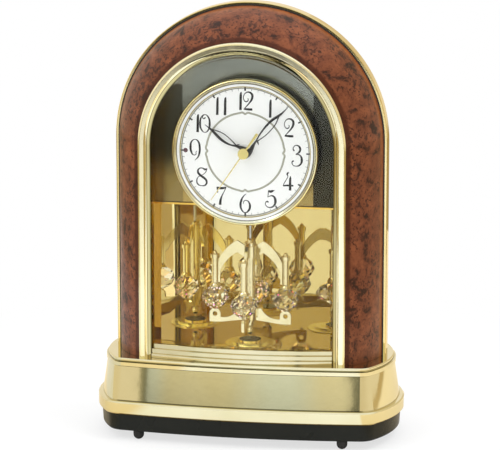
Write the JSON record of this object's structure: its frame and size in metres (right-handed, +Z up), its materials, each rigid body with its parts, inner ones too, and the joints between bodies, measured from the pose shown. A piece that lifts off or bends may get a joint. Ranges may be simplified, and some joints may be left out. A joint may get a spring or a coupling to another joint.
{
  "type": "beehive shelf clock",
  "caption": "Free-standing arched shelf clock with a dial over a turning crystal pendulum in a mirrored chamber, on a bowed base.",
  "frame": {"origin": "under the middle of the base, on the surface that the feet stand on", "axes": "+X to the right seen from the dial side, +Y from the dial to the back, +Z up"},
  "size_m": [0.22, 0.119, 0.3086],
  "materials": {
    "black_gloss": "gloss",
    "plated_gold": "polished gold plating",
    "pale_gold": "satin pale gold plating",
    "burl": "lacquered burl figure",
    "foot_rubber": "matt",
    "case_black": "fine grain",
    "window_clear": "clear",
    "mirror_gold": "gold-tinted mirror",
    "mirror_silver": "mirror",
    "dial_white": "white lacquer",
    "ring_white": "white with a bright step",
    "sensor_dark": "dark lens",
    "hand_black": "black lacquer",
    "hand_gold": "gold",
    "brass": "turned",
    "steel": "turned",
    "crystal": "cut and polished",
    "cell_wrap": "gloss wrapper",
    "spring_plate": "bright",
    "board_green": "solder mask",
    "knob_black": "satin"
  },
  "bodies": {
    "case": {"plinth": "black_gloss", "base_shroud": "plated_gold", "foot_front_left": "foot_rubber", "foot_front_right": "foot_rubber", "foot_rear_left": "foot_rubber", "foot_rear_right": "foot_rubber", "front_trim": "pale_gold", "burl_arch": "burl", "rear_rim": "plated_gold", "rear_case": "case_black", "jamb": "plated_gold", "window_glass": "window_clear", "window_sill": "plated_gold", "chamber_floor": "mirror_silver", "mirror_left": "mirror_gold", "mirror_right": "mirror_gold", "chamber_ceiling": "pale_gold", "dial_backboard": "mirror_gold", "dial_cup": "plated_gold", "dial_plate": "dial_white", "dial_bezel": "plated_gold", "track_ring": "ring_white", "light_sensor": "sensor_dark", "centre_post": "brass", "dial_nut": "brass", "movement_case": "case_black", "rod_bushing": "brass", "pendulum_drive": "case_black", "pedestal": "black_gloss", "pedestal_ring": "plated_gold", "rear_cover": "case_black", "cover_screws": "steel", "battery_tray": "case_black", "battery_cells": "cell_wrap", "battery_contacts": "spring_plate", "speaker": "case_black", "sound_board": "board_green"},
    "hour": {"hour_hand": "hand_black"},
    "minute": {"minute_hand": "hand_black"},
    "second": {"second_hand": "hand_gold"},
    "pendulum": {"pendulum_rod": "steel", "pendulum_column": "plated_gold", "upper_arches": "plated_gold", "lower_arms": "plated_gold", "pillar_front": "plated_gold", "crystal_front": "crystal", "pillar_right": "plated_gold", "crystal_right": "crystal", "pillar_rear": "plated_gold", "crystal_rear": "crystal", "pillar_left": "plated_gold", "crystal_left": "crystal"},
    "time_setter": {"set_knob": "knob_black"},
    "volume": {"volume_knob": "knob_black"},
    "play": {"play_button": "knob_black"},
    "mode": {"mode_switch": "knob_black"},
    "door": {"battery_door": "case_black"}
  },
  "joints": [
    {"name": "minute_turn", "type": "hinge", "parent": "case", "child": "minute", "pos_m": [0, -0.03, 0.2055], "axis": [0, 1, 0], "continuous": true},
    {"name": "hour_turn", "type": "hinge", "parent": "case", "child": "hour", "pos_m": [0, -0.03, 0.2055], "axis": [0, 1, 0], "continuous": true},
    {"name": "second_turn", "type": "hinge", "parent": "case", "child": "second", "pos_m": [0, -0.03, 0.2055], "axis": [0, 1, 0], "continuous": true},
    {"name": "set_turn", "type": "hinge", "parent": "case", "child": "time_setter", "pos_m": [0, 0.0534, 0.19], "axis": [0, 1, 0], "continuous": true},
    {"name": "pendulum_turn", "type": "hinge", "parent": "case", "child": "pendulum", "pos_m": [0, -0.0055, 0.12], "axis": [0, 0, 1], "continuous": true},
    {"name": "volume_turn", "type": "hinge", "parent": "case", "child": "volume", "pos_m": [-0.033, 0.0534, 0.218], "axis": [0, 1, 0], "range_deg": [-140, 140]},
    {"name": "play_press", "type": "slide", "parent": "case", "child": "play", "axis": [0, -1, 0], "range_m": [0, 0.002], "stiffness_N_per_m": 300, "springref_m": -0.0005},
    {"name": "mode_slide", "type": "slide", "parent": "case", "child": "mode", "axis": [1, 0, 0], "range_m": [-0.004, 0.004]},
    {"name": "door_swing", "type": "hinge", "parent": "case", "child": "door", "pos_m": [0.049, 0.0498, 0.0734], "axis": [-1, 0, 0], "range_deg": [0, 90]}
  ],
  "couplings": [
    {"joint": "hour_turn", "follows": "minute_turn", "ratio": 0.083333},
    {"joint": "second_turn", "follows": "minute_turn", "ratio": 60},
    {"joint": "set_turn", "follows": "minute_turn", "ratio": -0.33333}
  ]
}
